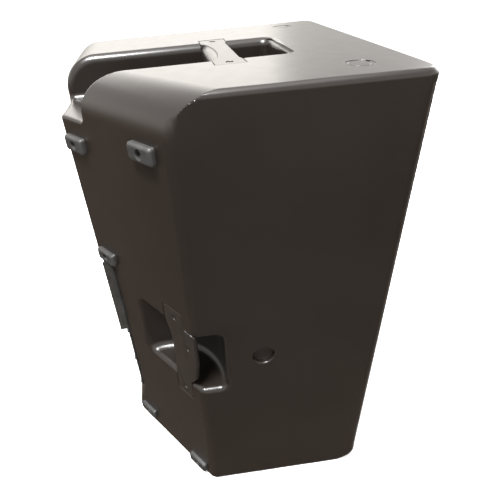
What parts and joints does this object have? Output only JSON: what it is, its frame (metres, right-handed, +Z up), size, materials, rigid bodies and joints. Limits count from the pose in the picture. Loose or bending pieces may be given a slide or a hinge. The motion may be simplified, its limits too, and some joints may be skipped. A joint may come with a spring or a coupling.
{
  "type": "line array speaker",
  "caption": "Portable powered loudspeaker with a cut-off rear corner, hand channels in the top and sides, a rear amplifier bay, and a woofer behind an upright column of small drivers.",
  "frame": {"origin": "on the floor, at the middle of the object's bounding box", "axes": "front (grille) faces -Y, rear amplifier panel faces +Y, +Z up, and the cut-off corner is at -X"},
  "size_m": [0.3796, 0.3864, 0.665],
  "materials": {
    "cabinet_plastic": "satin moulded, fine texture",
    "handle_plastic": "satin moulded",
    "bumper_rubber": "matte",
    "grille_steel": "powder coated",
    "acoustic_foam": "open cell, matte",
    "baffle_board": "painted board",
    "driver_steel": "painted pressed steel",
    "magnet_steel": "zinc plated",
    "cone_paper": "matte, pulp-like",
    "coil_copper": "enamelled winding",
    "panel_aluminium": "anodised, satin",
    "circuit_board": "solder mask",
    "jack_plastic": "satin",
    "knob_plastic": "satin",
    "screw_steel": "blackened",
    "cup_aluminium": "as cast"
  },
  "bodies": {
    "cabinet": {"cabinet_shell": "cabinet_plastic", "top_cap_left": "cabinet_plastic", "top_cap_right": "cabinet_plastic", "side_cap_left": "cabinet_plastic", "side_cap_right": "cabinet_plastic", "top_handle_plate": "handle_plastic", "left_handle_plate": "handle_plastic", "right_handle_plate": "handle_plastic", "front_grille": "grille_steel", "grille_foam": "acoustic_foam", "front_baffle": "baffle_board", "array_housing": "baffle_board", "port_tube_left": "jack_plastic", "port_tube_right": "jack_plastic", "woofer_basket": "driver_steel", "woofer_magnet": "magnet_steel", "amplifier_panel": "panel_aluminium", "heat_sink": "panel_aluminium", "amplifier_board": "circuit_board", "power_supply": "circuit_board", "input_jack_1": "jack_plastic", "input_jack_2": "jack_plastic", "line_out_jack": "jack_plastic", "mains_inlet": "jack_plastic", "pole_cup": "cup_aluminium", "array_driver_1": "driver_steel", "array_driver_2": "driver_steel", "array_driver_3": "driver_steel", "array_driver_4": "driver_steel", "array_driver_5": "driver_steel", "array_driver_6": "driver_steel", "rear_bumper_1": "bumper_rubber", "rear_bumper_2": "bumper_rubber", "rear_bumper_3": "bumper_rubber", "rear_bumper_4": "bumper_rubber", "rear_bumper_5": "bumper_rubber", "foot_1": "bumper_rubber", "foot_2": "bumper_rubber", "foot_3": "bumper_rubber", "foot_4": "bumper_rubber", "top_handle_screw_1": "screw_steel", "top_handle_screw_2": "screw_steel", "left_handle_screw_1": "screw_steel", "left_handle_screw_2": "screw_steel", "left_handle_screw_3": "screw_steel", "right_handle_screw_1": "screw_steel", "right_handle_screw_2": "screw_steel", "right_handle_screw_3": "screw_steel"},
    "woofer_moving": {"woofer_cone": "cone_paper", "voice_coil": "coil_copper"},
    "array_cone_1": {"array_cone_1": "cone_paper"},
    "array_cone_2": {"array_cone_2": "cone_paper"},
    "array_cone_3": {"array_cone_3": "cone_paper"},
    "array_cone_4": {"array_cone_4": "cone_paper"},
    "array_cone_5": {"array_cone_5": "cone_paper"},
    "array_cone_6": {"array_cone_6": "cone_paper"},
    "level_knob_1": {"level_knob_1": "knob_plastic"},
    "level_knob_2": {"level_knob_2": "knob_plastic"},
    "mode_button": {"mode_button": "knob_plastic"},
    "power_switch": {"power_switch": "knob_plastic"}
  },
  "joints": [
    {"name": "woofer_travel", "type": "slide", "parent": "cabinet", "child": "woofer_moving", "axis": [0, -1, 0], "range_m": [-0.006, 0.006], "stiffness_N_per_m": 2000},
    {"name": "array_cone_1_travel", "type": "slide", "parent": "cabinet", "child": "array_cone_1", "axis": [0, -1, 0], "range_m": [-0.0015, 0.0015], "stiffness_N_per_m": 400},
    {"name": "array_cone_2_travel", "type": "slide", "parent": "cabinet", "child": "array_cone_2", "axis": [0, -1, 0], "range_m": [-0.0015, 0.0015], "stiffness_N_per_m": 400},
    {"name": "array_cone_3_travel", "type": "slide", "parent": "cabinet", "child": "array_cone_3", "axis": [0, -1, 0], "range_m": [-0.0015, 0.0015], "stiffness_N_per_m": 400},
    {"name": "array_cone_4_travel", "type": "slide", "parent": "cabinet", "child": "array_cone_4", "axis": [0, -1, 0], "range_m": [-0.0015, 0.0015], "stiffness_N_per_m": 400},
    {"name": "array_cone_5_travel", "type": "slide", "parent": "cabinet", "child": "array_cone_5", "axis": [0, -1, 0], "range_m": [-0.0015, 0.0015], "stiffness_N_per_m": 400},
    {"name": "array_cone_6_travel", "type": "slide", "parent": "cabinet", "child": "array_cone_6", "axis": [0, -1, 0], "range_m": [-0.0015, 0.0015], "stiffness_N_per_m": 400},
    {"name": "level_knob_1_turn", "type": "hinge", "parent": "cabinet", "child": "level_knob_1", "pos_m": [-0.005, 0.1744, 0.236], "axis": [0, -1, 0], "range_deg": [-150, 150]},
    {"name": "level_knob_2_turn", "type": "hinge", "parent": "cabinet", "child": "level_knob_2", "pos_m": [0.051, 0.1744, 0.236], "axis": [0, -1, 0], "range_deg": [-150, 150]},
    {"name": "mode_button_press", "type": "slide", "parent": "cabinet", "child": "mode_button", "axis": [0, -1, 0], "range_m": [0, 0.0025], "stiffness_N_per_m": 300},
    {"name": "power_switch_rock", "type": "hinge", "parent": "cabinet", "child": "power_switch", "pos_m": [-0.012, 0.1744, 0.131], "axis": [1, 0, 0], "range_deg": [0, 16]}
  ]
}
